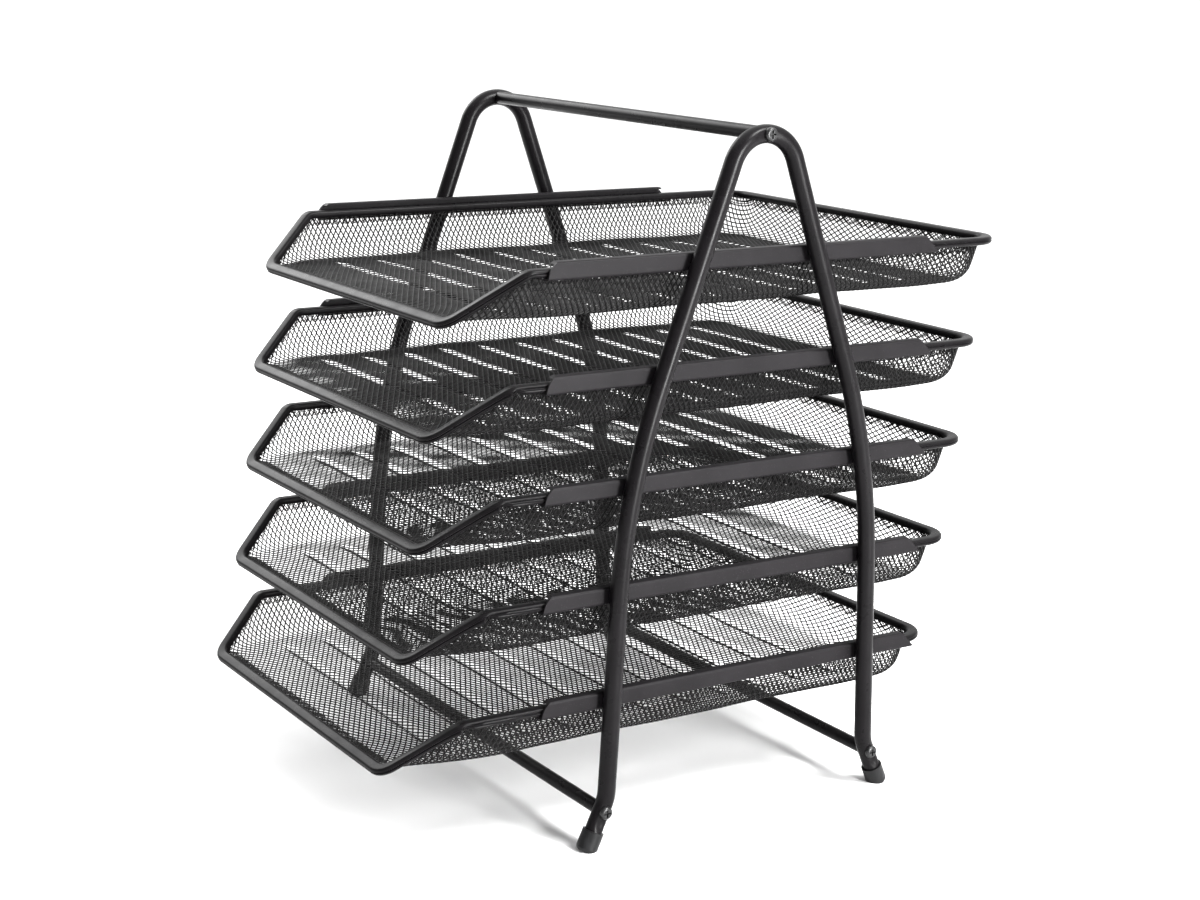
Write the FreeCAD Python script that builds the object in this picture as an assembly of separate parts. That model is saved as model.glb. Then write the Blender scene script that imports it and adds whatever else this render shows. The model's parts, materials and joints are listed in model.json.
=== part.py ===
"""Desktop file sorter: five wire-mesh trays that slide in rails between two bent-tube side frames.

Millimetres, +Z up, +X to the right and +Y to the back, so the trays are filled from -Y.
The shapes are worked out about the middle of the two side frames, and every one is then
moved along Y so that the origin is on the floor under the middle of the whole object.
"""

import FreeCAD, Part
import math
import os

# ---- side frames: one bent tube each ----
LEG_PLANE_X = 142.5        # tube centre line, either side of the middle
LEG_TUBE_R = 5.0
LEG_TUBE_WALL = 1.5
APEX_Z = 385.0             # tube centre line at the top of the bend
APEX_BEND_R = 21.5
UPPER_LEAN = 20.0          # degrees from upright, above the knee
LOWER_LEAN = 2.6           # degrees from upright, below the knee
KNEE_Z = 200.0             # where the two leans would meet
KNEE_BEND_R = 400.0
ANKLE_Z = 28.0             # where the tube turns outwards to its foot
ANKLE_BEND_R = 25.0
SPLAY = 24.0               # degrees from upright, below the ankle

# ---- bars between the side frames ----
BAR_R = 3.75
BAR_WALL = 0.9
BAR_Z = 21.5               # the two bars near the floor
INSERT_LENGTH = 12.0
INSERT_END_X = 136.8

# ---- screws that hold the bars ----
SCREW_R = 2.0
SCREW_HOLE_R = 2.15
SCREW_LENGTH = 18.0
HEAD_R = 3.8
HEAD_HEIGHT = 2.3
DIMPLE_DEPTH = 1.0         # the tube is pressed in under each head
DIMPLE_R = 60.0
RECESS_LENGTH = 4.4
RECESS_WIDTH = 0.9
RECESS_DEPTH = 1.4

# ---- feet ----
FOOT_R = 6.1
FOOT_LENGTH = 11.5         # from the floor, along the tube
FOOT_FLOOR = 3.5           # from the floor to the tube's end, along the tube
FOOT_ROUNDING = 2.6

# ---- trays ----
TRAY_COUNT = 5
TRAY_PITCH = 59.0
LOWEST_RIM_Z = 82.0
TRAY_SET_BACK = (37.4, 28.4, 21.9, 13.7, 0.0)   # from the top tray down, how far back each stands

RIM_X = 131.5              # rim centre line, either side of the middle
RIM_BACK_Y = 143.0
RIM_KINK_Y = -174.9        # where the side rims turn down and inwards
RIM_FRONT_X = 109.9        # where they would meet the front one
RIM_FRONT_Y = -210.6
RIM_FRONT_DROP = 26.6
RIM_BACK_BEND_R = 17.0
RIM_FRONT_BEND_R = 12.0
RIM_KINK_BEND_R = 8.0
RIM_WIDTH = 7.0
RIM_HEIGHT = 4.5
RIM_ROUNDING = 1.8
RIM_SHEET = 0.8
RIM_SLOT = (-1.7, 0.3)     # gap under the rim that takes the mesh, across the rim

MESH_SHEET = 0.8
MESH_DEPTH = 25.2          # from the rim's centre line to the middle of the floor sheet
MESH_TOP = 0.8             # the mesh's edge inside the rim, above the centre line
MESH_OUTSET = 0.1          # its outer face there, out from the centre line
MESH_DRAFT = 10.0
MESH_FLOOR_BEND_R = 12.0
MESH_FRONT_BEND_R = 72.0
MESH_FRONT_Y = -232.0      # outer face of the front wall that the slanted rim cuts off
MESH_SPREAD = 1.2          # how far past the slanted rim's centre line its edge may reach

# ---- rails: folded channels that open inwards ----
RAIL_OUTER_X = 137.5
RAIL_SHEET = 1.2
RAIL_FLANGE = 5.5
RAIL_BOTTOM = -3.7         # below the rim's centre line
RAIL_TOP = 6.0
RAIL_BEND_R = 1.6
RAIL_FRONT_Y = -129.0
RAIL_BACK_Y = 129.0
RAIL_NOSE_R = 11.0
RAIL_BACK_CHAMFER = 8.0

X_AXIS = FreeCAD.Vector(1, 0, 0)
Y_AXIS = FreeCAD.Vector(0, 1, 0)
Z_AXIS = FreeCAD.Vector(0, 0, 1)


def vec(x, y, z):
    return FreeCAD.Vector(x, y, z)


def mirrored(shape):
    """The same shape on the other side of the middle."""
    return shape.mirror(vec(0, 0, 0), X_AXIS)


# ---------------------------------------------------------------- sweeps and profiles


def rounded_corner(before, corner, after, radius):
    """Where the arc at a corner starts and ends, its centre, its axis and its turn."""
    way_in = (corner - before).normalize()
    way_out = (after - corner).normalize()
    axis = way_in.cross(way_out).normalize()
    turn = way_in.getAngle(way_out)
    reach = radius * math.tan(turn / 2)
    start = corner - way_in * reach
    centre = start + axis.cross(way_in) * radius
    return start, corner + way_out * reach, centre, axis, math.degrees(turn)


def sweep(profile, points, radii, up):
    """Carries a flat profile along straight runs and an arc at each inner point.

    The profile's own X points outwards, its Y is up and its Z is the way forward.
    """
    forward = (points[1] - points[0]).normalize()
    outward = up.cross(forward).normalize()
    turn = FreeCAD.Rotation(outward, up, forward, "ZXY")
    face = profile.copy()
    face.Placement = FreeCAD.Placement(points[0], turn)
    pieces = []
    here = points[0]
    for index, radius in enumerate(radii, start=1):
        start, end, centre, axis, degrees = rounded_corner(
            points[index - 1], points[index], points[index + 1], radius
        )
        pieces.append(face.extrude(start - here))
        face = face.translated(start - here)
        pieces.append(face.revolve(centre, axis, degrees))
        face = face.rotated(centre, axis, degrees)
        here = end
    pieces.append(face.extrude(points[-1] - here))
    return pieces[0].multiFuse(pieces[1:]).removeSplitter()


def disc(radius):
    return Part.Face(Part.Wire(Part.makeCircle(radius)))


def rounded_rectangle(x0, x1, y0, y1, radius):
    """A face in the XY plane with its four corners rounded."""
    corners = ((x0, y0), (x1, y0), (x1, y1), (x0, y1))
    outline = Part.makePolygon([vec(x, y, 0) for x, y in corners + corners[:1]])
    solid = Part.Face(outline).extrude(Z_AXIS)
    upright = [edge for edge in solid.Edges if abs(edge.tangentAt(edge.FirstParameter).z) > 0.5]
    rounded = solid.makeFillet(radius, upright)
    return min(rounded.Faces, key=lambda face: face.CenterOfMass.z)


def outline_face(points):
    return Part.Face(Part.makePolygon(points + points[:1]))


def tidy(shape):
    """The shape's solids, as one solid or as a group."""
    solids = shape.Solids
    return solids[0] if len(solids) == 1 else Part.makeCompound(solids)


# ---------------------------------------------------------------- side frames


def leg_points(x):
    """The corners of one side frame's centre line, from its front foot over to its rear foot."""
    upper = math.tan(math.radians(UPPER_LEAN))
    lower = math.tan(math.radians(LOWER_LEAN))
    splay = math.tan(math.radians(SPLAY))
    peak_rise = APEX_BEND_R / math.sin(math.radians(UPPER_LEAN)) - APEX_BEND_R
    peak_z = APEX_Z + peak_rise
    knee_y = (peak_z - KNEE_Z) * upper
    ankle_y = knee_y + (KNEE_Z - ANKLE_Z) * lower
    foot_y = ankle_y + ANKLE_Z * splay
    rear = [(foot_y, 0.0), (ankle_y, ANKLE_Z), (knee_y, KNEE_Z)]
    front = [(-y, z) for y, z in rear]
    return [vec(x, y, z) for y, z in front + [(0.0, peak_z)] + rear[::-1]]


def leg_solid(x, radius):
    """The whole bent rod of a side frame, stopped short of the floor inside its feet."""
    points = leg_points(x)
    for end, neighbour in ((0, 1), (-1, -2)):
        step = (points[neighbour] - points[end]).normalize()
        points[end] = points[end] + step * FOOT_FLOOR
    radii = (ANKLE_BEND_R, KNEE_BEND_R, APEX_BEND_R, KNEE_BEND_R, ANKLE_BEND_R)
    return sweep(disc(radius), points, radii, X_AXIS)


def bar_seats():
    """Where the bars meet the side frames, as (y, z): the handle, then front and rear bars."""
    points = leg_points(0)
    foot, ankle = points[0], points[1]
    share = (BAR_Z - foot.z) / (ankle.z - foot.z)
    bar_y = -(foot.y + (ankle.y - foot.y) * share)
    return {"handle": (0.0, APEX_Z), "front": (-bar_y, BAR_Z), "rear": (bar_y, BAR_Z)}


def dimple_cutter(y, z, upright):
    """A wide roller that presses a shallow hollow into the tube's outer face."""
    centre_x = LEG_PLANE_X + LEG_TUBE_R - DIMPLE_DEPTH + DIMPLE_R
    half = LEG_TUBE_R * 1.6
    axis = Z_AXIS if upright else Y_AXIS
    start = vec(centre_x, y, z) - axis * half
    return Part.makeCylinder(DIMPLE_R, 2 * half, start, axis)


def side_frame():
    """The right-hand frame, hollow, with a dimple and a hole for each screw."""
    frame = leg_solid(LEG_PLANE_X, LEG_TUBE_R)
    frame = frame.cut(leg_solid(LEG_PLANE_X, LEG_TUBE_R - LEG_TUBE_WALL))
    for name, (y, z) in bar_seats().items():
        frame = frame.cut(dimple_cutter(y, z, upright=name == "handle"))
        hole_start = vec(LEG_PLANE_X - 2 * LEG_TUBE_R, y, z)
        frame = frame.cut(Part.makeCylinder(SCREW_HOLE_R, 4 * LEG_TUBE_R, hole_start, X_AXIS))
    return frame


def foot(front):
    """A soft cap on the splayed end of a right-hand leg, with a flat on the floor."""
    points = leg_points(LEG_PLANE_X)
    low, high = (points[0], points[1]) if front else (points[-1], points[-2])
    up = (high - low).normalize()
    cap = Part.makeCylinder(FOOT_R, FOOT_LENGTH + 1, low - up, up)
    lower_edge = min(cap.Edges, key=lambda edge: edge.CenterOfMass.z)
    cap = cap.makeFillet(FOOT_ROUNDING, [lower_edge])
    bore = Part.makeCylinder(LEG_TUBE_R, FOOT_LENGTH, low + up * FOOT_FLOOR, up)
    under_floor = Part.makeBox(40, 40, 20, low - vec(20, 20, 20))
    return cap.cut(bore).cut(under_floor)


# ---------------------------------------------------------------- bars and screws


def bar(y, z):
    """A tube between the side frames, its ends shaped to sit against them."""
    start = vec(-LEG_PLANE_X, y, z)
    tube = Part.makeCylinder(BAR_R, 2 * LEG_PLANE_X, start, X_AXIS)
    tube = tube.cut(Part.makeCylinder(BAR_R - BAR_WALL, 2 * LEG_PLANE_X, start, X_AXIS))
    for side in (-1, 1):
        tube = tube.cut(leg_solid(side * LEG_PLANE_X, LEG_TUBE_R))
    return max(tube.Solids, key=lambda solid: solid.Volume)


def insert(y, z):
    """A threaded plug pressed into a bar's right-hand end."""
    start = vec(INSERT_END_X - INSERT_LENGTH, y, z)
    plug = Part.makeCylinder(BAR_R - BAR_WALL, INSERT_LENGTH, start, X_AXIS)
    return plug.cut(Part.makeCylinder(SCREW_R, INSERT_LENGTH, start, X_AXIS))


def screw(y, z):
    """A pan-head screw with a cross recess, seated in a right-hand dimple."""
    hollow_under_head = DIMPLE_R - math.sqrt(DIMPLE_R**2 - HEAD_R**2)
    seat_x = LEG_PLANE_X + LEG_TUBE_R - DIMPLE_DEPTH + hollow_under_head
    head = Part.makeCylinder(HEAD_R, HEAD_HEIGHT, vec(seat_x, 0, 0), X_AXIS)
    outer_edge = max(head.Edges, key=lambda edge: edge.CenterOfMass.x)
    head = head.makeFillet(HEAD_HEIGHT * 0.7, [outer_edge])
    shank = Part.makeCylinder(SCREW_R, SCREW_LENGTH, vec(seat_x - SCREW_LENGTH, 0, 0), X_AXIS)
    body = head.fuse(shank).removeSplitter()
    recess_x = seat_x + HEAD_HEIGHT - RECESS_DEPTH
    for turn in (0, 90):
        slot = Part.makeBox(
            RECESS_DEPTH * 2,
            RECESS_LENGTH,
            RECESS_WIDTH,
            vec(recess_x, -RECESS_LENGTH / 2, -RECESS_WIDTH / 2),
        )
        body = body.cut(slot.rotated(vec(0, 0, 0), X_AXIS, turn))
    return body.translated(vec(0, y, z))


def at_both_ends(make, seats):
    """A small piece at both ends of each bar, as one group."""
    right = [make(y, z) for y, z in seats]
    return Part.makeCompound(right + [mirrored(piece) for piece in right])


# ---------------------------------------------------------------- rails


def rail(rim_z):
    """One right-hand folded channel, welded to the insides of the side frame's two legs."""
    depth = RAIL_FLANGE
    outer = rounded_rectangle(-depth, depth, RAIL_BOTTOM, RAIL_TOP, RAIL_BEND_R)
    inner = rounded_rectangle(
        RAIL_SHEET - depth,
        depth - RAIL_SHEET,
        RAIL_BOTTOM + RAIL_SHEET,
        RAIL_TOP - RAIL_SHEET,
        RAIL_BEND_R - RAIL_SHEET,
    )
    open_side = outline_face([vec(x, y, 0) for x, y in ((-20, -20), (0, -20), (0, 20), (-20, 20))])
    section = outer.cut(inner).cut(open_side)
    section.rotate(vec(0, 0, 0), X_AXIS, 90)
    section.translate(vec(RAIL_OUTER_X - depth, RAIL_BACK_Y, 0))
    channel = tidy(section.extrude(vec(0, RAIL_FRONT_Y - RAIL_BACK_Y, 0)))
    return channel.common(rail_outline()).translated(vec(0, 0, rim_z))


def rail_outline():
    """The rail as seen from the side: a rounded nose in front and a chamfer behind."""
    low, high = RAIL_BOTTOM, RAIL_TOP
    nose_y = RAIL_FRONT_Y + RAIL_NOSE_R
    nose_top_y = nose_y - math.sqrt(RAIL_NOSE_R**2 - (high - low) ** 2)
    middle_angle = math.radians(150)
    middle_y = nose_y + RAIL_NOSE_R * math.cos(middle_angle)
    middle_z = low + RAIL_NOSE_R * math.sin(middle_angle)
    ends = [
        vec(0, RAIL_FRONT_Y, low),
        vec(0, nose_top_y, high),
        vec(0, RAIL_BACK_Y - RAIL_BACK_CHAMFER, high),
        vec(0, RAIL_BACK_Y, low + RAIL_SHEET),
        vec(0, RAIL_BACK_Y, low),
    ]
    nose = Part.Arc(ends[0], vec(0, middle_y, middle_z), ends[1]).toShape()
    straights = [Part.makeLine(a, b) for a, b in zip(ends[1:], ends[2:] + ends[:1])]
    return Part.Face(Part.Wire([nose] + straights)).extrude(vec(200, 0, 0))


# ---------------------------------------------------------------- trays


def slope_angle():
    """How steeply the front of the rim runs down, in radians."""
    return math.atan2(RIM_FRONT_DROP, RIM_KINK_Y - RIM_FRONT_Y)


def slope_up():
    """The direction square to the slanted front of the rim, pointing up."""
    return vec(0, -math.sin(slope_angle()), math.cos(slope_angle()))


def tray_rim():
    """A folded steel strip around the tray: level behind, running down to a low front edge."""
    half_width, half_height = RIM_WIDTH / 2, RIM_HEIGHT / 2
    outer = rounded_rectangle(-half_width, half_width, -half_height, half_height, RIM_ROUNDING)
    inner = rounded_rectangle(
        RIM_SHEET - half_width,
        half_width - RIM_SHEET,
        RIM_SHEET - half_height,
        half_height - RIM_SHEET,
        RIM_ROUNDING - RIM_SHEET,
    )
    left, right = RIM_SLOT
    slot = outline_face(
        [vec(x, y, 0) for x, y in ((left, -9), (right, -9), (right, 0), (left, 0))]
    )
    section = outer.cut(inner).cut(slot).Faces[0]
    right = [
        vec(RIM_X, RIM_BACK_Y, 0),
        vec(RIM_X, RIM_KINK_Y, 0),
        vec(RIM_FRONT_X, RIM_FRONT_Y, -RIM_FRONT_DROP),
    ]
    left = [vec(-point.x, point.y, point.z) for point in right[::-1]]
    back = [vec(0, RIM_BACK_Y, 0)]
    half_radii = (RIM_BACK_BEND_R, RIM_KINK_BEND_R, RIM_FRONT_BEND_R)
    return sweep(section, back + right + left + back, half_radii + half_radii[::-1], Z_AXIS)


def wall_section(reach):
    """The mesh sheet's section in the XZ plane, from x = 0 on the floor to its edge at x = reach."""
    draft = math.radians(MESH_DRAFT)
    floor_z = -MESH_DEPTH - MESH_SHEET / 2
    centre_z = floor_z + MESH_FLOOR_BEND_R
    wall_x = reach - (MESH_TOP - centre_z) * math.tan(draft)
    centre_x = wall_x - MESH_FLOOR_BEND_R / math.cos(draft)
    inner_r = MESH_FLOOR_BEND_R - MESH_SHEET

    def on_bend(radius, below_level):
        angle = math.radians(below_level)
        return vec(centre_x + radius * math.cos(angle), 0, centre_z - radius * math.sin(angle))

    def bend(radius):
        ends = on_bend(radius, 90), on_bend(radius, (90 + MESH_DRAFT) / 2), on_bend(radius, MESH_DRAFT)
        return Part.Arc(*ends).toShape()

    outer_top = vec(reach, 0, MESH_TOP)
    inner_top = vec(reach - MESH_SHEET / math.cos(draft), 0, MESH_TOP)
    outer_axis = vec(0, 0, floor_z)
    inner_axis = vec(0, 0, floor_z + MESH_SHEET)
    edges = [
        Part.makeLine(outer_axis, on_bend(MESH_FLOOR_BEND_R, 90)),
        bend(MESH_FLOOR_BEND_R),
        Part.makeLine(on_bend(MESH_FLOOR_BEND_R, MESH_DRAFT), outer_top),
        Part.makeLine(outer_top, inner_top),
        Part.makeLine(inner_top, on_bend(inner_r, MESH_DRAFT)),
        bend(inner_r),
        Part.makeLine(on_bend(inner_r, 90), inner_axis),
        Part.makeLine(inner_axis, outer_axis),
    ]
    return Part.Face(Part.Wire(edges))


def mesh_tub():
    """The mesh basket before its front is cut: four walls that round into a flat floor."""
    side_x = RIM_X + MESH_OUTSET
    back_y = RIM_BACK_Y + MESH_OUTSET
    back_r = RIM_BACK_BEND_R + MESH_OUTSET
    front_r = MESH_FRONT_BEND_R
    back_axis_x, back_axis_y = side_x - back_r, back_y - back_r
    front_axis_x, front_axis_y = side_x - front_r, MESH_FRONT_Y + front_r
    back_section = wall_section(back_r)
    front_section = wall_section(front_r)

    back_corner = back_section.translated(vec(back_axis_x, back_axis_y, 0))
    back_corner = back_corner.revolve(vec(back_axis_x, back_axis_y, 0), Z_AXIS, 90)
    front_corner = front_section.translated(vec(front_axis_x, front_axis_y, 0))
    side_strip = front_corner.extrude(vec(0, back_axis_y - front_axis_y, 0))
    front_corner = front_corner.revolve(vec(front_axis_x, front_axis_y, 0), Z_AXIS, -90)
    right = [back_corner, side_strip, front_corner]
    left = [mirrored(piece) for piece in right]

    back_strip = back_section.rotated(vec(0, 0, 0), Z_AXIS, 90)
    back_strip = back_strip.translated(vec(-back_axis_x, back_axis_y, 0))
    back_strip = back_strip.extrude(vec(2 * back_axis_x, 0, 0))
    front_strip = front_section.rotated(vec(0, 0, 0), Z_AXIS, -90)
    front_strip = front_strip.translated(vec(-front_axis_x, front_axis_y, 0))
    front_strip = front_strip.extrude(vec(2 * front_axis_x, 0, 0))
    floor = Part.makeBox(
        2 * front_axis_x,
        back_axis_y - front_axis_y,
        MESH_SHEET,
        vec(-front_axis_x, front_axis_y, -MESH_DEPTH - MESH_SHEET / 2),
    )
    return floor.multiFuse(right + left + [back_strip, front_strip])


def rim_envelope():
    """The space under the rim's slanted plane and inside its outline, right through the tray."""
    slope_length = math.hypot(RIM_FRONT_DROP, RIM_KINK_Y - RIM_FRONT_Y)
    behind = -500
    right = [
        vec(RIM_X + MESH_OUTSET, behind, 0),
        vec(RIM_X + MESH_OUTSET, 0, 0),
        vec(RIM_FRONT_X + MESH_SPREAD, slope_length + MESH_OUTSET, 0),
    ]
    left = [vec(-point.x, point.y, 0) for point in right[::-1]]
    prism = outline_face(right + left).extrude(vec(0, 0, -500))
    front_corners = [
        edge
        for edge in prism.Edges
        if edge.Vertexes[0].Y > slope_length and edge.Vertexes[1].Y > slope_length
        and abs(edge.CenterOfMass.x) > 1
    ]
    prism = prism.makeFillet(RIM_FRONT_BEND_R, front_corners).translated(vec(0, 0, MESH_TOP))
    down_slope = vec(0, -math.cos(slope_angle()), -math.sin(slope_angle()))
    turn = FreeCAD.Rotation(down_slope.cross(slope_up()), down_slope, slope_up(), "ZYX")
    prism.Placement = FreeCAD.Placement(vec(0, RIM_KINK_Y, 0), turn)
    return prism


def tray_mesh():
    return tidy(mesh_tub().common(rim_envelope()).removeSplitter())


# ---------------------------------------------------------------- the whole object


def middle_shift(rim):
    """How far the side frames' middle stands behind the middle of the whole object."""
    box = rim.optimalBoundingBox(False)
    return -(box.YMin + box.YMax + max(TRAY_SET_BACK)) / 2


def build():
    sided = {"side_frame": side_frame(), "foot_front": foot(front=True), "foot_rear": foot(front=False)}
    for index in range(TRAY_COUNT):
        sided[f"rail_{index + 1}"] = rail(LOWEST_RIM_Z + TRAY_PITCH * (TRAY_COUNT - 1 - index))
    nodes = {}
    for name, shape in sided.items():
        nodes[f"{name}_right"] = shape
        nodes[f"{name}_left"] = mirrored(shape)
    seats = bar_seats()
    nodes["handle_bar"] = bar(*seats["handle"])
    nodes["cross_bar_front"] = bar(*seats["front"])
    nodes["cross_bar_rear"] = bar(*seats["rear"])
    nodes["bar_end_inserts"] = at_both_ends(insert, seats.values())
    nodes["handle_screws"] = at_both_ends(screw, [seats["handle"]])
    nodes["cross_bar_screws"] = at_both_ends(screw, [seats["front"], seats["rear"]])
    rim = tray_rim()
    mesh = tray_mesh()
    for index in range(TRAY_COUNT):
        number = index + 1
        rim_z = LOWEST_RIM_Z + TRAY_PITCH * (TRAY_COUNT - number)
        place = vec(0, TRAY_SET_BACK[index], rim_z)
        nodes[f"tray_rim_{number}"] = rim.translated(place)
        nodes[f"tray_mesh_{number}"] = mesh.translated(place)
    shift = vec(0, middle_shift(rim), 0)
    return {name: shape.translated(shift) for name, shape in nodes.items()}


def main():
    os.makedirs("parts", exist_ok=True)
    for name, shape in build().items():
        shape.exportStep(f"parts/{name}.step")


main()
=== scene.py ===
import json
import math

import bpy
import numpy as np
from mathutils import Matrix, Quaternion, Vector


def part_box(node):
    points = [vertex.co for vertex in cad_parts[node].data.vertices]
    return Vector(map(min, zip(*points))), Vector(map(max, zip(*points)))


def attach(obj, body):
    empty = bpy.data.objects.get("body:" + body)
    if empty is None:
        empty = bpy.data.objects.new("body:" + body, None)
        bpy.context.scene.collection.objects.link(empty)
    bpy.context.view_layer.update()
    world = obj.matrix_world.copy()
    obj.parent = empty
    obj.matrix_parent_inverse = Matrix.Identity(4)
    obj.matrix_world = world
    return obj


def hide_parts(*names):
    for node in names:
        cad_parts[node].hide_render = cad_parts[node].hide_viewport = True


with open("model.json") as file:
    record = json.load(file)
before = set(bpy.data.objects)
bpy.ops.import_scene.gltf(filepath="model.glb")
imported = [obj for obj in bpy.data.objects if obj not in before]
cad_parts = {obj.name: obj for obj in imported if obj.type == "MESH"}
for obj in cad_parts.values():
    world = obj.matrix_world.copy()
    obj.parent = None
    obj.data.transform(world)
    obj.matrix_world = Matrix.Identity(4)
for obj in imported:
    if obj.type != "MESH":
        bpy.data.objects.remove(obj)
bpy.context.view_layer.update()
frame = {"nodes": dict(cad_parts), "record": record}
nodes = frame["nodes"]
MM = 0.001
TRAYS = range(1, 6)

# ------------------------------------------------------------------ small helpers


def add_piece(name, mesh, at, body, slot, replaced):
    """A piece made from mesh that rides on a body, in one of the record's slots, for a CAD node."""
    piece = bpy.data.objects.new(name, mesh)
    bpy.context.scene.collection.objects.link(piece)
    piece.location = at
    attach(piece, body)
    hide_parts(replaced)
    paint(piece, slot)


def mesh_of(name, points, faces):
    """A smooth mesh from millimetre points (an array) and its faces."""
    mesh = bpy.data.meshes.new(name)
    mesh.from_pydata((np.asarray(points) * MM).tolist(), [], faces)
    mesh.validate()
    mesh.shade_smooth()
    return mesh


def smooth_step(value):
    """From 0 to 1 with level ends, as value goes from 0 to 1."""
    value = np.clip(value, 0.0, 1.0)
    return value * value * (3.0 - 2.0 * value)


# ------------------------------------------------------------------ materials


def set_range(node, low, high, to_low, to_high):
    """Sets a Map Range node's four numbers."""
    sockets = ("From Min", "From Max", "To Min", "To Max")
    for socket, number in zip(sockets, (low, high, to_low, to_high)):
        node.inputs[socket].default_value = number


class Shader:
    """Builds one node material around a Principled shader."""

    def __init__(self, name, base, rough, specular=0.5, metallic=0.0):
        self.material = bpy.data.materials.new(name)
        self.material.use_nodes = True
        self.tree = self.material.node_tree
        self.shader = self.tree.nodes["Principled BSDF"]
        self.shader.inputs["Base Color"].default_value = (*base, 1.0)
        self.shader.inputs["Roughness"].default_value = rough
        self.shader.inputs["Specular IOR Level"].default_value = specular
        self.shader.inputs["Metallic"].default_value = metallic
        self.where = self.node("ShaderNodeTexCoord").outputs["Object"]

    def node(self, kind, **settings):
        made = self.tree.nodes.new(kind)
        for key, value in settings.items():
            setattr(made, key, value)
        return made

    def link(self, out, into):
        self.tree.links.new(out, into)

    def noise(self, scale, detail=3.0, stretch=(1, 1, 1)):
        """A noise value, its cells about 1 / scale metres across."""
        mapping = self.node("ShaderNodeMapping")
        mapping.inputs["Scale"].default_value = stretch
        self.link(self.where, mapping.inputs["Vector"])
        texture = self.node("ShaderNodeTexNoise")
        texture.inputs["Scale"].default_value = scale
        texture.inputs["Detail"].default_value = detail
        self.link(mapping.outputs["Vector"], texture.inputs["Vector"])
        return texture.outputs["Fac"]

    def remap(self, value, low, high, to_low, to_high):
        node = self.node("ShaderNodeMapRange")
        set_range(node, low, high, to_low, to_high)
        self.link(value, node.inputs["Value"])
        return node.outputs["Result"]

    def mix(self, factor, first, second):
        """A colour between two colours or colour outputs."""
        node = self.node("ShaderNodeMix", data_type="RGBA")
        self.link(factor, node.inputs["Factor"])
        for socket, colour in ((node.inputs[6], first), (node.inputs[7], second)):
            if isinstance(colour, tuple):
                socket.default_value = (*colour, 1.0)
            else:
                self.link(colour, socket)
        return node.outputs[2]

    def bump(self, height, distance, strength=1.0, under=None):
        node = self.node("ShaderNodeBump")
        node.inputs["Distance"].default_value = distance
        node.inputs["Strength"].default_value = strength
        self.link(height, node.inputs["Height"])
        if under:
            self.link(under, node.inputs["Normal"])
        return node.outputs["Normal"]


def scaled(colour, by):
    return tuple(channel * by for channel in colour)


def powder_coat(name, base, rough, specular, grain, bump_mm, spread=0.06):
    """Baked powder paint: an orange-peel skin, cloudy gloss, and a few pale specks scattered at
    random in its colour.
    """
    coat = Shader(name, base, rough, specular)
    cloud = coat.remap(coat.noise(35.0, 4.0), 0.3, 0.7, 0.0, 1.0)
    colour = coat.mix(cloud, scaled(base, 0.8), scaled(base, 1.22))
    specks = coat.remap(coat.noise(1400.0, 1.0), 0.68, 0.76, 0.0, 1.0)
    colour = coat.mix(specks, colour, scaled(base, 2.6))
    coat.link(colour, coat.shader.inputs["Base Color"])
    gloss = coat.remap(coat.noise(140.0, 5.0), 0.25, 0.75, rough - spread, rough + spread)
    coat.link(gloss, coat.shader.inputs["Roughness"])
    peel = coat.bump(coat.noise(grain, 2.0), bump_mm * MM, 0.8)
    broad = coat.bump(coat.noise(220.0, 2.0), 0.012 * MM, 0.5, under=peel)
    coat.link(broad, coat.shader.inputs["Normal"])
    return coat.material


def moulded_plastic(name, base, rough):
    """Soft black plastic with a fine spark-eroded grain and scuffs from the desk."""
    plastic = Shader(name, base, rough, 0.18)
    scuff = plastic.remap(plastic.noise(260.0, 6.0, (1, 1, 0.25)), 0.55, 0.8, 0.0, 1.0)
    colour = plastic.mix(scuff, base, scaled(base, 2.4))
    plastic.link(colour, plastic.shader.inputs["Base Color"])
    gloss = plastic.remap(plastic.noise(400.0, 4.0), 0.3, 0.7, rough - 0.1, rough + 0.12)
    plastic.link(gloss, plastic.shader.inputs["Roughness"])
    grain = plastic.bump(plastic.noise(2600.0, 2.0), 0.05 * MM, 0.7)
    plastic.link(grain, plastic.shader.inputs["Normal"])
    return plastic.material


def worked_metal(name, base, rough, metallic):
    """Turned or oxide-blacked steel with fine marks round it and brighter rubbed patches."""
    metal = Shader(name, base, rough, 0.5, metallic)
    rubbed = metal.remap(metal.noise(700.0, 4.0), 0.5, 0.75, 0.0, 1.0)
    colour = metal.mix(rubbed, base, scaled(base, 1.9))
    metal.link(colour, metal.shader.inputs["Base Color"])
    gloss = metal.remap(metal.noise(900.0, 3.0), 0.3, 0.7, rough - 0.08, rough + 0.14)
    metal.link(gloss, metal.shader.inputs["Roughness"])
    marks = metal.bump(metal.noise(3000.0, 2.0, (6, 1, 1)), 0.02 * MM, 0.6)
    metal.link(marks, metal.shader.inputs["Normal"])
    return metal.material


MATERIALS = {
    "tube_coat": powder_coat("tube_coat", (0.0042, 0.0037, 0.0042), 0.30, 0.085, 1500.0, 0.03),
    "rail_coat": powder_coat("rail_coat", (0.0075, 0.0068, 0.0076), 0.44, 0.07, 1700.0, 0.04),
    "rim_coat": powder_coat("rim_coat", (0.0050, 0.0046, 0.0050), 0.30, 0.055, 1500.0, 0.03),
    "mesh_coat": powder_coat("mesh_coat", (0.0050, 0.0048, 0.0050), 0.42, 0.09, 1700.0, 0.04),
    "foot_cap": moulded_plastic("foot_cap", (0.006, 0.006, 0.0063), 0.4),
    "screw_black": worked_metal("screw_black", (0.010, 0.010, 0.0105), 0.30, 0.35),
    "insert_steel": worked_metal("insert_steel", (0.55, 0.55, 0.56), 0.35, 1.0),
}


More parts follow.
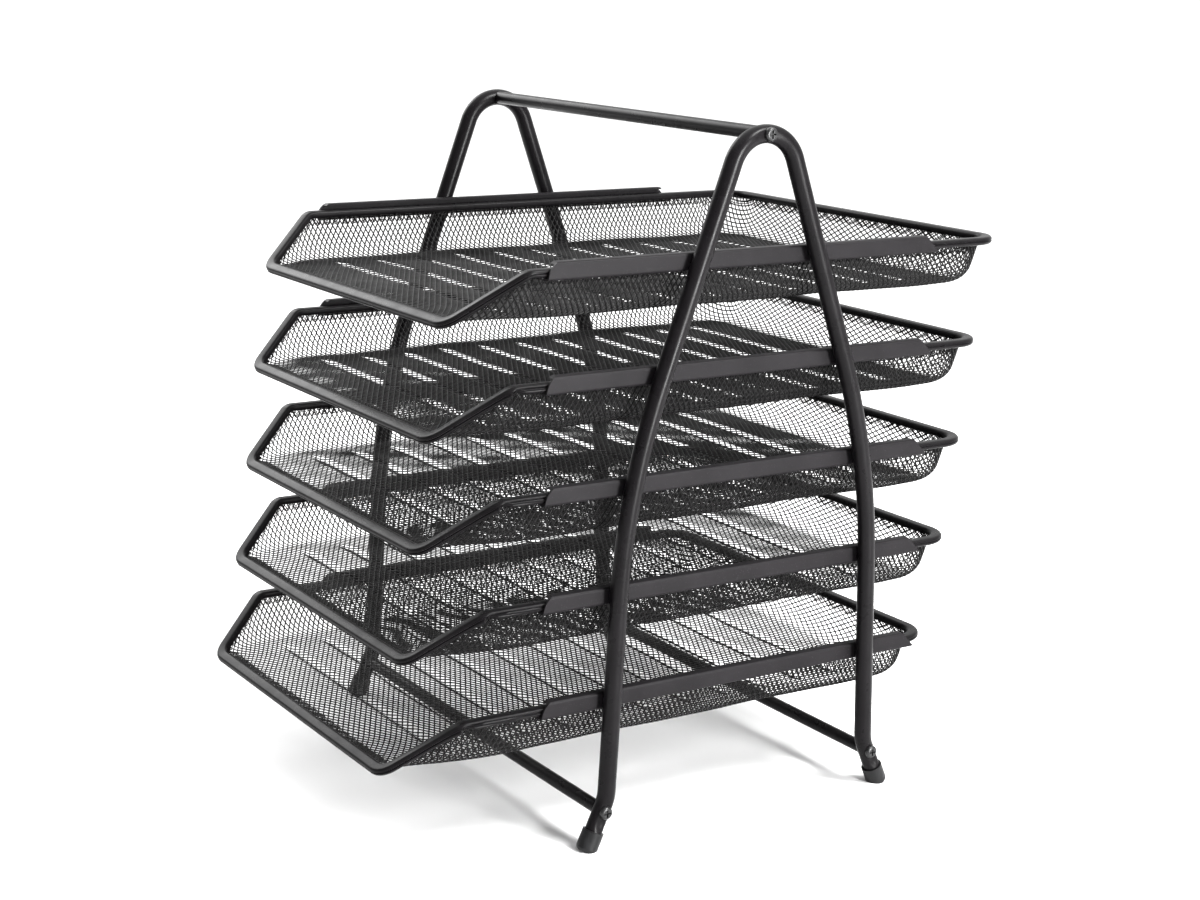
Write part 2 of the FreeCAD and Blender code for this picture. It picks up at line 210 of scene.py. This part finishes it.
def paint(piece, slot):
    """Gives a piece the material of one of the record's slots."""
    piece.data.materials.clear()
    piece.data.materials.append(MATERIALS[slot])


for part in frame["record"]["subparts"]:
    paint(nodes[part["node"]], part["material_slot"])

# ------------------------------------------------------------------ swept strips and tubes


class Station:
    """A place on a path: where it is, which way is forward and which way is up."""

    def __init__(self, at, forward, up):
        self.at, self.forward, self.up = at, forward, up

    @property
    def outward(self):
        return self.up.cross(self.forward)


def rounded_path(points, radii, up, straight_step, arc_steps):
    """Stations along straight runs with an arc at each inner point. The ends are stations too."""
    forward = (points[1] - points[0]).normalized()
    here, stations = points[0], [Station(points[0], forward, up)]

    def run_to(end):
        length = (end - here).length
        count = max(1, round(length / straight_step))
        for index in range(1, count + 1):
            stations.append(Station(here.lerp(end, index / count), forward, up))

    for index, radius in enumerate(radii, start=1):
        way_out = (points[index + 1] - points[index]).normalized()
        axis = forward.cross(way_out).normalized()
        turn = forward.angle(way_out)
        start = points[index] - forward * (radius * math.tan(turn / 2))
        run_to(start)
        centre = start + axis.cross(forward) * radius
        steps = max(4, round(arc_steps * turn / math.radians(90)))
        first = Station(start, forward, up)
        for step in range(1, steps + 1):
            spin = Quaternion(axis, turn * step / steps)
            forward, up = spin @ first.forward, spin @ first.up
            stations.append(Station(centre + spin @ (start - centre), forward, up))
        here = stations[-1].at
    run_to(points[-1])
    return stations


def skin(rings, closed_path, capped=False):
    """Points and faces over closed rings that all have the same number of points."""
    count, size = len(rings), len(rings[0])
    points = np.concatenate(rings)
    faces = []
    for ring in range(count if closed_path else count - 1):
        base, after = ring * size, (ring + 1) % count * size
        for index in range(size):
            other = (index + 1) % size
            faces.append((base + index, base + other, after + other, after + index))
    if capped:
        faces.append(tuple(range(size))[::-1])
        faces.append(tuple((count - 1) * size + index for index in range(size)))
    return points, faces


# ------------------------------------------------------------------ sizes shared with the CAD (mm)

shift_y = (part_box("handle_bar")[0][1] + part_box("handle_bar")[1][1]) / 2 / MM
RIM_X = 131.5
RIM_BACK = 143.0
RIM_KINK = -174.9
RIM_FRONT_X = 109.9
RIM_FRONT = -210.6
RIM_DROP = 26.6
RIM_HALF_WIDE = 3.5
RIM_HALF_TALL = 2.25


def tray_place(number):
    """Where a tray's own origin is: below its rim's middle line at the side frames' middle."""
    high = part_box(f"tray_rim_{number}")[1]
    back = high[1] / MM - (RIM_BACK + RIM_HALF_WIDE)
    top = high[2] / MM - RIM_HALF_TALL
    return Vector((0, back, top)) * MM


# ------------------------------------------------------------------ tray rims


def rim_section():
    """The rolled strip's section, outward then up: rounded outside, a seam low on the outer face,
    a lip on each side of the slot that grips the mesh, and the hollow inside."""

    def corner(x, y, start, radius, steps=5):
        angles = [math.radians(start + 90 * step / steps) for step in range(steps + 1)]
        return [(x + radius * math.cos(a), y + radius * math.sin(a)) for a in angles]

    wide, tall, rounding, sheet = RIM_HALF_WIDE, RIM_HALF_TALL, 1.8, 0.8
    outside = corner(wide - rounding, tall - rounding, 0, rounding)
    outside += corner(rounding - wide, tall - rounding, 90, rounding)
    outside += corner(rounding - wide, rounding - tall, 180, rounding)
    lips = [(-1.95, -tall), (-1.7, -tall + 0.25), (-1.7, -tall + sheet)]
    hollow = [(-wide + sheet + 0.6, -tall + sheet), (-wide + sheet, -0.6), (-wide + sheet, 0.6)]
    hollow += [(-wide + sheet + 0.8, tall - sheet), (wide - sheet - 0.8, tall - sheet)]
    hollow += [(wide - sheet, 0.6), (wide - sheet, -0.6), (wide - sheet - 0.6, -tall + sheet)]
    back_out = [(0.3, -tall + sheet), (0.3, -tall + 0.25), (0.55, -tall)]
    outer_low = corner(wide - rounding, rounding - tall, 270, rounding)
    seam = [(wide, -0.8), (wide - 0.12, -0.5), (wide - 0.7, -0.2)]
    seam += [(wide - 0.7, 0.05), (wide - 0.15, 0.4)]
    return outside + lips + hollow + back_out + outer_low + seam


RIM_BENDS = (17.0, 8.0, 12.0)    # rear corner, kink and front corner


def rim_stations():
    """The rim's middle line, from the middle of the back round to there again."""
    right = [
        Vector((RIM_X, RIM_BACK, 0)),
        Vector((RIM_X, RIM_KINK, 0)),
        Vector((RIM_FRONT_X, RIM_FRONT, -RIM_DROP)),
    ]
    left = [Vector((-point.x, point.y, point.z)) for point in right[::-1]]
    back = [Vector((0, RIM_BACK, 0))]
    points, radii = back + right + left + back, RIM_BENDS + RIM_BENDS[::-1]
    path = rounded_path(points, radii, Vector((0, 0, 1)), straight_step=2.5, arc_steps=30)
    return path[:-1]


# the pinch: each part's height as a share of the pinch's depth, and where it lies behind the kink
FOLD, FOLD_START, FOLD_RISE, FOLD_FULL, FOLD_FADE = 0.7, 0.6, 1.8, -1.2, 4.0
NOTCH, NOTCH_AT = 1.25, 2.6
FLARE, FLARE_START, FLARE_RISE, FLARE_FULL, FLARE_FADE = 0.85, 4.0, 2.5, 6.5, 24.0
FLARE_MOST = 1.1


def rim_mesh(name, pinches):
    """One rim. Where it turns down, the strip buckles on its outer lower side by the depth given
    for each side: a swelling, a notch behind it that widens downwards, and a flared lip."""
    section = rim_section()
    rings = []
    for station in rim_stations():
        along = station.at.y - RIM_KINK
        depth = pinches[0 if station.at.x < 0 else 1]
        fold = FOLD * depth * smooth_step((FOLD_START - along) / FOLD_RISE)
        fold *= math.exp(-max(FOLD_FULL - along, 0.0) / FOLD_FADE)
        flare = FLARE * depth * smooth_step((along - FLARE_START) / FLARE_RISE)
        flare *= math.exp(-max(along - FLARE_FULL, 0.0) / FLARE_FADE)
        ring = []
        for x, y in section:
            outer = smooth_step((x + 0.5) / 3.0)
            low = smooth_step((1.3 - y) / 2.2)
            shoulder = smooth_step((0.1 - y) / 0.7)
            valley = math.exp(-(((y - 0.35) / 0.6) ** 2))
            spread = 1.0 + 0.5 * max(0.9 - y, 0.0)
            notch = NOTCH * depth * math.exp(-(((along - NOTCH_AT) / spread) ** 2))
            lip = min(flare, FLARE_MOST) * shoulder
            bent_x = x + outer * ((fold - notch) * low + lip - 0.7 * flare * valley)
            bent_y = y + outer * low * (0.25 * notch - 0.5 * fold)
            ring.append(station.at + station.outward * bent_x + station.up * bent_y)
        rings.append(np.array([tuple(p) for p in ring]))
    points, faces = skin(rings, closed_path=True)
    mesh = mesh_of(name, points, faces)
    mesh.set_sharp_from_angle(angle=math.radians(50))
    return mesh


# each tray's pinch depths, left and right
RIM_PINCHES = {1: (0.25, 0.2), 2: (1.3, 1.7), 3: (1.5, 1.7), 4: (1.3, 1.9), 5: (1.5, 2.0)}
for number in TRAYS:
    rim = rim_mesh(f"rim_{number}", RIM_PINCHES[number])
    body, node = f"tray_{number}", f"tray_rim_{number}"
    add_piece(f"rim_{number}", rim, tray_place(number), body, "rim_coat", node)

# ------------------------------------------------------------------ side frames

LEG_X = 142.5
TUBE_R = 5.0
APEX_Z = 385.0
APEX_BEND = 21.5
LEANS = (20.0, 2.6, 24.0)    # degrees from upright: above the knee, below it, below the ankle
KNEE_Z = 200.0
ANKLE_Z = 28.0
FOOT_FLOOR = 3.5
BAR_Z = 21.5
LEG_BENDS = (25.0, 400.0, APEX_BEND, 400.0, 25.0)
LEG_SIDES = 36
APEX_PRESS, APEX_SPREAD, APEX_DOWN = 1.1, 7.5, 12.0      # depth, reach, and how far down it goes
SCREW_PRESS, SCREW_SPREAD = 1.0, 5.0
SCOOP_PRESS, SCOOP_DOWN, SCOOP_SPREAD = 1.5, 6.5, 3.6
PRESS_HALF_WIDE = 2.7


def leg_stations():
    """One side frame's tube, from its front foot over to its rear foot."""
    upper, lower, splay = (math.tan(math.radians(lean)) for lean in LEANS)
    peak_z = APEX_Z + APEX_BEND / math.sin(math.radians(LEANS[0])) - APEX_BEND
    knee_y = (peak_z - KNEE_Z) * upper
    ankle_y = knee_y + (KNEE_Z - ANKLE_Z) * lower
    foot_y = ankle_y + ANKLE_Z * splay
    rear = [(foot_y, 0.0), (ankle_y, ANKLE_Z), (knee_y, KNEE_Z)]
    front = [(-y, z) for y, z in rear]
    points = [Vector((LEG_X, y, z)) for y, z in front + [(0.0, peak_z)] + rear[::-1]]
    for end, neighbour in ((0, 1), (-1, -2)):
        points[end] = points[end] + (points[neighbour] - points[end]).normalized() * FOOT_FLOOR
    return rounded_path(points, LEG_BENDS, Vector((1, 0, 0)), straight_step=1.5, arc_steps=60)


def pressed_in(at):
    """How deep the tube's outer face is pressed in: round each screw, and in an oval scoop that
    runs down from the low ones towards the foot."""
    if at.z > APEX_Z - APEX_DOWN:
        return APEX_PRESS * math.exp(-((at.y / APEX_SPREAD) ** 2))
    if at.z > KNEE_Z:
        return 0.0
    drop = BAR_Z - at.z
    scoop = SCOOP_PRESS * math.exp(-(((drop - SCOOP_DOWN) / SCOOP_SPREAD) ** 2))
    return SCREW_PRESS * math.exp(-((drop / SCREW_SPREAD) ** 2)) + scoop


def leg_mesh(name, side):
    """One side frame: side is 1 for the right one and -1 for the left."""
    rings = []
    for station in leg_stations():
        depth = pressed_in(station.at)
        ring = []
        for index in range(LEG_SIDES):
            angle = 2 * math.pi * index / LEG_SIDES
            across, out = TUBE_R * math.cos(angle), TUBE_R * math.sin(angle)
            if out > 0:
                out -= depth * math.exp(-((across / PRESS_HALF_WIDE) ** 2))
            point = station.at + station.outward * across + station.up * out
            ring.append((side * point.x, point.y, point.z))
        rings.append(np.array(ring))
    points, faces = skin(rings, closed_path=False, capped=True)
    if side < 0:
        faces = [face[::-1] for face in faces]
    return mesh_of(name, points, faces)


for side, hand in ((-1, "left"), (1, "right")):
    leg, at = leg_mesh(f"leg_{hand}", side), (0, shift_y * MM, 0)
    add_piece(f"leg_{hand}", leg, at, "frame", "tube_coat", f"side_frame_{hand}")

# ------------------------------------------------------------------ expanded-metal baskets

PITCHES = (6.3, 3.4)       # diamonds, across the tray and along it
HEM_PITCHES = (3.9, 2.2)
BONDS = (0.98, 0.48)       # half the joint between two diamonds, across the tray and along it
HEM_BONDS = (0.62, 0.34)
HEM_LIFT = 0.86            # the hem's own layer, inside the wall
PATTERN_REACH = (172, 262)
PATTERN_AHEAD = 30.0       # how far the pattern's middle is ahead of the tray's origin
STRAND_HALF = 0.39
FLOOR_Z = -25.2
BEND = 11.6
DRAFT = math.radians(10.0)
MESH_TOP = 0.8
WALL_INSET = (MESH_TOP - FLOOR_Z - BEND) * math.tan(DRAFT) + (BEND + 0.4) / math.cos(DRAFT)
FLAT_X = 131.6 - WALL_INSET
FLAT_BACK = 143.1 - WALL_INSET
FLAT_FRONT = -209.6
BACK_CORNER = 16.0
FRONT_CORNER = 5.0
CORNER_SLANT = 0.32        # how much the rear corners' walls lean, from 0 for upright
HEM_TOP = 2.2              # hidden by the rim above this
HEM = 6.8                  # the mesh's folded-over edge, down from the rim
# the floor's sides drawn in at the front: where from, how far, how strongly and how wide
DRAW_FROM, DRAW_LENGTH, DRAW_RATE, DRAW_WIDE = -150.0, 56.0, 0.0036, 60.0
# the floor's front edge pressed down: how deep, where from and over what length
LIP_DROP, LIP_FROM, LIP_RISE = 0.8, -188.0, 18.0


def flat_distance(u, v):
    """How far a point of the flat pattern is outside the floor, and the way out."""
    side = np.where(u < 0, -1.0, 1.0)
    across = np.abs(u)
    gaps = np.stack([across - FLAT_X, v - FLAT_BACK, FLAT_FRONT - v])
    nearest = np.argmax(gaps, axis=0)
    distance = np.take_along_axis(gaps, nearest[None], axis=0)[0]
    nx = np.where(nearest == 0, side, 0.0)
    ny = np.where(nearest == 1, 1.0, np.where(nearest == 2, -1.0, 0.0))
    for radius, edge, sign in ((BACK_CORNER, FLAT_BACK, 1.0), (FRONT_CORNER, FLAT_FRONT, -1.0)):
        cx, cy = FLAT_X - radius, edge - sign * radius
        dx, dy = across - cx, v - cy
        inside = (dx > 0) & (sign * dy > 0)
        reach = np.maximum(np.hypot(dx, dy), 1e-6)
        distance = np.where(inside, reach - radius, distance)
        nx = np.where(inside, side * dx / reach, nx)
        ny = np.where(inside, dy / reach, ny)
    return distance, nx, ny


def wall_profile(s):
    """Outward reach, height and inside normal of the wall at a distance s past the flat floor."""
    turn = math.pi / 2 - DRAFT
    angle = np.clip(s / BEND, 0.0, turn)
    straight = np.maximum(s - BEND * turn, 0.0)
    reach = BEND * np.sin(angle) + straight * math.sin(DRAFT)
    height = FLOOR_Z + BEND * (1 - np.cos(angle)) + straight * math.cos(DRAFT)
    return reach, height, np.sin(angle), np.cos(angle)


def rounded_corner(first, second, radius):
    """The distance outside two lines' corner, from the distances outside each line."""
    round_part = np.hypot(first + radius, second + radius) - radius
    return np.where((first > -radius) & (second > -radius), round_part, np.maximum(first, second))


def outside_rim(x, y):
    """How far a point is outside the rim's middle line, seen from above."""
    across = np.abs(x)
    taper = math.atan2(RIM_X - RIM_FRONT_X, RIM_KINK - RIM_FRONT)
    slanted = (across - RIM_X) * math.cos(taper) + (RIM_KINK - y) * math.sin(taper)
    front = rounded_corner(slanted, RIM_FRONT - y, 10.0)
    back = rounded_corner(across - RIM_X, y - RIM_BACK, 26.0)
    return np.maximum(front, back)


def wall_top(foot_x, foot_y, nx, ny):
    """Where the wall above a point of the floor's edge meets the rim: how far out and how high."""
    search_from, search_to, halvings = -20.0, 60.0, 18
    near, far = np.full(foot_x.shape, search_from), np.full(foot_x.shape, search_to)
    for _ in range(halvings):
        middle = (near + far) / 2
        outside = outside_rim(foot_x + nx * middle, foot_y + ny * middle) > 0
        near, far = np.where(outside, near, middle), np.where(outside, middle, far)
    slope = RIM_DROP / (RIM_KINK - RIM_FRONT)
    height = np.clip(slope * (foot_y + ny * near - RIM_KINK), -RIM_DROP, 0.0) + MESH_TOP
    return near + 0.1, height


def wall_length(height):
    """The mesh's length up a wall from the flat floor to a height above it."""
    turn = math.pi / 2 - DRAFT
    bend_height = BEND * (1 - math.cos(turn))
    bent = BEND * np.arccos(1 - np.clip(height, 0.0, bend_height) / BEND)
    return bent + np.maximum(height - bend_height, 0.0) / math.cos(DRAFT)


def drawn_in(u, v):
    """How far the floor's sides are drawn in towards the front, where the rim narrows."""
    ahead = np.clip(DRAW_FROM - v, 0.0, DRAW_LENGTH)
    near_side = smooth_step((np.abs(u) - FLAT_X + DRAW_WIDE) / DRAW_WIDE)
    return -np.sign(u) * DRAW_RATE * ahead**2 * near_side


def edge_distance(u, v):
    """How far past the flat floor the mesh reaches at each point of the pattern, and how far out
    its wall has to end to be in the rim."""
    s, nx, ny = flat_distance(u, v)
    foot_x, foot_y = u - nx * s, v - ny * s
    out, height = wall_top(foot_x + drawn_in(foot_x, foot_y), foot_y, nx, ny)
    limit = wall_length(height - FLOOR_Z)
    return limit, s, nx, ny, np.maximum(out, 0.0)


RIB_PITCH = 27.0
RIB_HALF = 3.6
RIB_DEPTH = 1.3
RIB_REACH = 104.0
RIB_OFFSET = 8.0
RIB_FRONT, RIB_BACK = -190.0, 122.0
RIB_END_FADE, RIB_ROW_FADE = 9.0, 6.0


def floor_ribs(x, y):
    """How far the floor is pressed down: ribs across the tray that fade out before its sides."""
    phase = (y + RIB_OFFSET + RIB_PITCH / 2) % RIB_PITCH - RIB_PITCH / 2
    groove = np.clip(1 - (phase / RIB_HALF) ** 2, 0.0, 1.0) ** 1.5
    ends = smooth_step((RIB_REACH - np.abs(x)) / RIB_END_FADE)
    rows = smooth_step((y - RIB_FRONT) / RIB_ROW_FADE)
    rows = rows * smooth_step((RIB_BACK - y) / RIB_ROW_FADE)
    return RIB_DEPTH * groove * ends * rows


def unevenness(u, v):
    """Slow waves in the sheet, up to about half a millimetre."""
    slow = 0.4 * np.sin(u * 0.051 + 1.3) * np.sin(v * 0.057)
    return slow + 0.13 * np.sin(u * 0.19) * np.sin(v * 0.13 + 2)


def on_tray(u, v, lift):
    """Pattern points carried onto the basket, lifted off the sheet's middle towards the inside."""
    limit, s, nx, ny, end = edge_distance(u, v)
    base = np.maximum(s, 0.0)
    foot_x, foot_y = u - nx * base, v - ny * base
    reach, height, lean, rise = wall_profile(np.clip(s, 0.0, limit))
    rib = np.where(s < 4.0, floor_ribs(u, v), 0.0)
    lip = LIP_DROP * smooth_step((LIP_FROM - v) / LIP_RISE)
    full_reach, full_height = wall_profile(limit)[:2]
    widen = end / np.maximum(full_reach, 1.0)
    climbed = (height - FLOOR_Z) / np.maximum(full_height - FLOOR_Z, 1.0)
    slant = CORNER_SLANT * smooth_step((widen - 1.0) / 0.35)
    out = reach * widen + slant * (end * climbed - reach * widen) - lift * lean
    x = foot_x + drawn_in(foot_x, foot_y) + nx * out
    y = foot_y + ny * out
    z = height + lift * rise - rib - lip + unevenness(u, v) * rise
    return np.stack([x, y, z], axis=-1)


def lattice(pitches, lift, bonds, keep):
    """A closed lattice of strands with lozenge sections. keep says which diamonds are there."""
    half_u, half_v = pitches[0] / 2, pitches[1] / 2
    count_u, count_v = int(PATTERN_REACH[0] / half_u), int(PATTERN_REACH[1] / half_v)
    steps_u, steps_v = np.arange(-count_u, count_u + 1), np.arange(-count_v, count_v + 1)
    i, j = np.meshgrid(steps_u, steps_v, indexing="ij")
    u, v = i * half_u, j * half_v - PATTERN_AHEAD
    is_hole = (i + j) % 2 == 0
    kept = is_hole & keep(u, v)
    kept[:2], kept[-2:], kept[:, :2], kept[:, -2:] = False, False, False, False
    near = np.zeros_like(kept)
    for di, dj in ((1, 0), (-1, 0), (0, 1), (0, -1)):
        near |= np.roll(kept, (di, dj), (0, 1))
    used_nodes = near & ~is_hole
    ring_holes = np.zeros_like(kept)
    for di, dj in ((1, 0), (-1, 0), (0, 1), (0, -1)):
        ring_holes |= np.roll(used_nodes, (di, dj), (0, 1))
    ring_holes &= is_hole
    tops = np.full(i.shape, -1)
    corners = np.full(i.shape, -1)
    node_count, hole_count = int(used_nodes.sum()), int(ring_holes.sum())
    tops[used_nodes] = np.arange(node_count)
    corners[ring_holes] = 2 * node_count + 4 * np.arange(hole_count)
    nu, nv = u[used_nodes], v[used_nodes]
    hu, hv = u[ring_holes], v[ring_holes]
    long_reach, short_reach = half_u - bonds[0], half_v - bonds[1]
    parts = [on_tray(nu, nv, lift + STRAND_HALF), on_tray(nu, nv, lift - STRAND_HALF)]
    rims = [on_tray(hu + du, hv + dv, np.full(hu.shape, lift)) for du, dv in
            ((long_reach, 0), (0, short_reach), (-long_reach, 0), (0, -short_reach))]
    points = np.concatenate(parts + [np.stack(rims, axis=1).reshape(-1, 3)])
    faces = []
    # each strand joins a node to the node one step across and one along; the holes beside it
    # lie one step across from the first node and one step along from it
    for di, dj in ((1, 1), (1, -1)):
        next_node = np.roll(used_nodes, (-di, -dj), (0, 1))
        side_hole = np.roll(kept, (-di, 0), (0, 1))
        along_hole = np.roll(kept, (0, -dj), (0, 1))
        here = used_nodes & next_node & (side_hole | along_hole)
        ia, ja = np.nonzero(here)
        top_a, top_b = tops[ia, ja], tops[ia + di, ja + dj]
        side = corners[ia + di, ja]
        along = corners[ia, ja + dj]
        # corner order in a hole: 0 towards +u, 1 +v, 2 -u, 3 -v
        side_near, side_far = side + 2, side + (1 if dj > 0 else 3)
        along_near, along_far = along + (3 if dj > 0 else 1), along
        flip = dj < 0
        for quads in (
            (top_a, side_near, side_far, top_b),
            (top_a, top_b, along_far, along_near),
        ):
            upper = np.stack(quads, axis=1)
            under = upper.copy()
            under[under < node_count] += node_count
            faces.append(upper[:, ::-1] if flip else upper)
            faces.append(under if flip else under[:, ::-1])
    return points, np.concatenate(faces)


def basket_mesh():
    """The expanded metal of one tray, and its hem."""

    def main_holes(u, v):
        edge, s = edge_distance(u, v)[:2]
        return s < edge + 0.4

    def hem_holes(u, v):
        edge, s = edge_distance(u, v)[:2]
        return (s < edge - HEM_TOP) & (s > edge - HEM)

    layers = [
        lattice(PITCHES, 0.0, BONDS, main_holes),
        lattice(HEM_PITCHES, HEM_LIFT, HEM_BONDS, hem_holes),
    ]
    mesh = bpy.data.meshes.new("basket")
    offset, points, faces = 0, [], []
    for layer_points, layer_faces in layers:
        points.append(layer_points)
        faces.append(layer_faces + offset)
        offset += len(layer_points)
    points, faces = np.concatenate(points) * MM, np.concatenate(faces)
    mesh.vertices.add(len(points))
    mesh.vertices.foreach_set("co", points.astype(np.float32).ravel())
    mesh.loops.add(faces.size)
    mesh.loops.foreach_set("vertex_index", faces.astype(np.int32).ravel())
    mesh.polygons.add(len(faces))
    mesh.polygons.foreach_set("loop_start", np.arange(0, faces.size, 4, dtype=np.int32))
    mesh.update(calc_edges=True)
    mesh.shade_smooth()
    return mesh


basket = basket_mesh()
for number in TRAYS:
    body, node = f"tray_{number}", f"tray_mesh_{number}"
    add_piece(f"basket_{number}", basket, tray_place(number), body, "mesh_coat", node)

# ------------------------------------------------------------------ camera, lights and floor


CAMERA_TURN = (57.818, -15.077, 1.122)    # yaw, pitch and roll in degrees
CAMERA_LENS, CAMERA_SENSOR = 62.731, 36.0
CAMERA_SHIFT = (0.01845, 0.05359)
CAMERA_X, CAMERA_Z = 1.0349, 0.4759       # metres
CAMERA_AHEAD = 673.65                     # mm in front of the side frames' middle


def add_camera():
    yaw, pitch, roll = (math.radians(angle) for angle in CAMERA_TURN)
    level = math.cos(pitch)
    forward = Vector((-math.sin(yaw) * level, math.cos(yaw) * level, math.sin(pitch)))
    flat_right = forward.cross(Vector((0, 0, 1))).normalized()
    flat_up = flat_right.cross(forward)
    right = flat_right * math.cos(roll) + flat_up * math.sin(roll)
    up = flat_up * math.cos(roll) - flat_right * math.sin(roll)
    data = bpy.data.cameras.new("camera")
    data.sensor_width = CAMERA_SENSOR
    data.lens = CAMERA_LENS
    data.shift_x, data.shift_y = CAMERA_SHIFT
    camera = bpy.data.objects.new("camera", data)
    turn = Matrix((right, up, -forward)).transposed().to_4x4()
    at = (CAMERA_X, (shift_y - CAMERA_AHEAD) * MM, CAMERA_Z)
    camera.matrix_world = Matrix.Translation(at) @ turn
    bpy.context.scene.collection.objects.link(camera)
    bpy.context.scene.camera = camera
    bpy.context.scene.view_settings.view_transform = "Standard"


def add_light(name, at, towards, size, power):
    """A rectangular light of a power in watts."""
    data = bpy.data.lights.new(name, "AREA")
    data.shape = "RECTANGLE"
    data.size, data.size_y = size
    data.energy = power
    light = bpy.data.objects.new(name, data)
    light.location = at
    aim = Vector(towards) - Vector(at)
    light.rotation_euler = aim.to_track_quat("-Z", "Y").to_euler()
    bpy.context.scene.collection.objects.link(light)


def add_floor():
    """A pale floor that reaches far enough to meet the white world behind it."""
    far = 60.0
    points = [(-far, -far, 0), (far, -far, 0), (far, far, 0), (-far, far, 0)]
    mesh = bpy.data.meshes.new("floor")
    mesh.from_pydata(points, [], [(0, 1, 2, 3)])
    floor = bpy.data.objects.new("floor", mesh)
    bpy.context.scene.collection.objects.link(floor)
    paper = Shader("floor_paper", (0.80, 0.80, 0.80), 0.9, 0.1)
    tint = paper.remap(paper.noise(3.0, 3.0), 0.3, 0.7, 0.0, 1.0)
    colour = paper.mix(tint, (0.79, 0.79, 0.79), (0.81, 0.81, 0.81))
    paper.link(colour, paper.shader.inputs["Base Color"])
    mesh.materials.append(paper.material)


WHITE_SIDE = (-0.80, 0.50, 0.33)          # the way the camera looks, and a little up


def add_world():
    """White behind the object and a dim room on the camera's side, with a soft change between."""
    world = bpy.data.worlds.new("studio")
    bpy.context.scene.world = world
    world.use_nodes = True
    tree = world.node_tree
    background = tree.nodes["Background"]
    background.inputs["Color"].default_value = (1.0, 1.0, 1.0, 1.0)
    where = tree.nodes.new("ShaderNodeTexCoord")
    towards = tree.nodes.new("ShaderNodeVectorMath")
    towards.operation = "DOT_PRODUCT"
    towards.inputs[1].default_value = WHITE_SIDE
    fade = tree.nodes.new("ShaderNodeMapRange")
    set_range(fade, -0.2, 0.6, 0.4, 1.1)
    tree.links.new(where.outputs["Generated"], towards.inputs[0])
    tree.links.new(towards.outputs["Value"], fade.inputs["Value"])
    tree.links.new(fade.outputs["Result"], background.inputs["Strength"])


def add_sun(name, slant, turn, spread, strength):
    """A sun tipped by slant from straight down and turned about the vertical, in degrees."""
    data = bpy.data.lights.new(name, "SUN")
    data.angle = math.radians(spread)
    data.energy = strength
    light = bpy.data.objects.new(name, data)
    light.rotation_euler = (math.radians(slant), 0, math.radians(turn))
    bpy.context.scene.collection.objects.link(light)


add_camera()
add_floor()
add_world()
add_sun("overhead", 14.0, -120.0, 90.0, 2.4)
add_light("key", (2.2, 0.5, 0.36), (0, 0, 0.2), (0.45, 0.9), 135.0)
add_light("top", (1.25, 0.72, 1.75), (0, 0, 0.3), (0.6, 0.6), 85.0)
add_light("left", (-1.9, -0.3, 1.35), (0, 0, 0.25), (1.2, 1.2), 30.0)
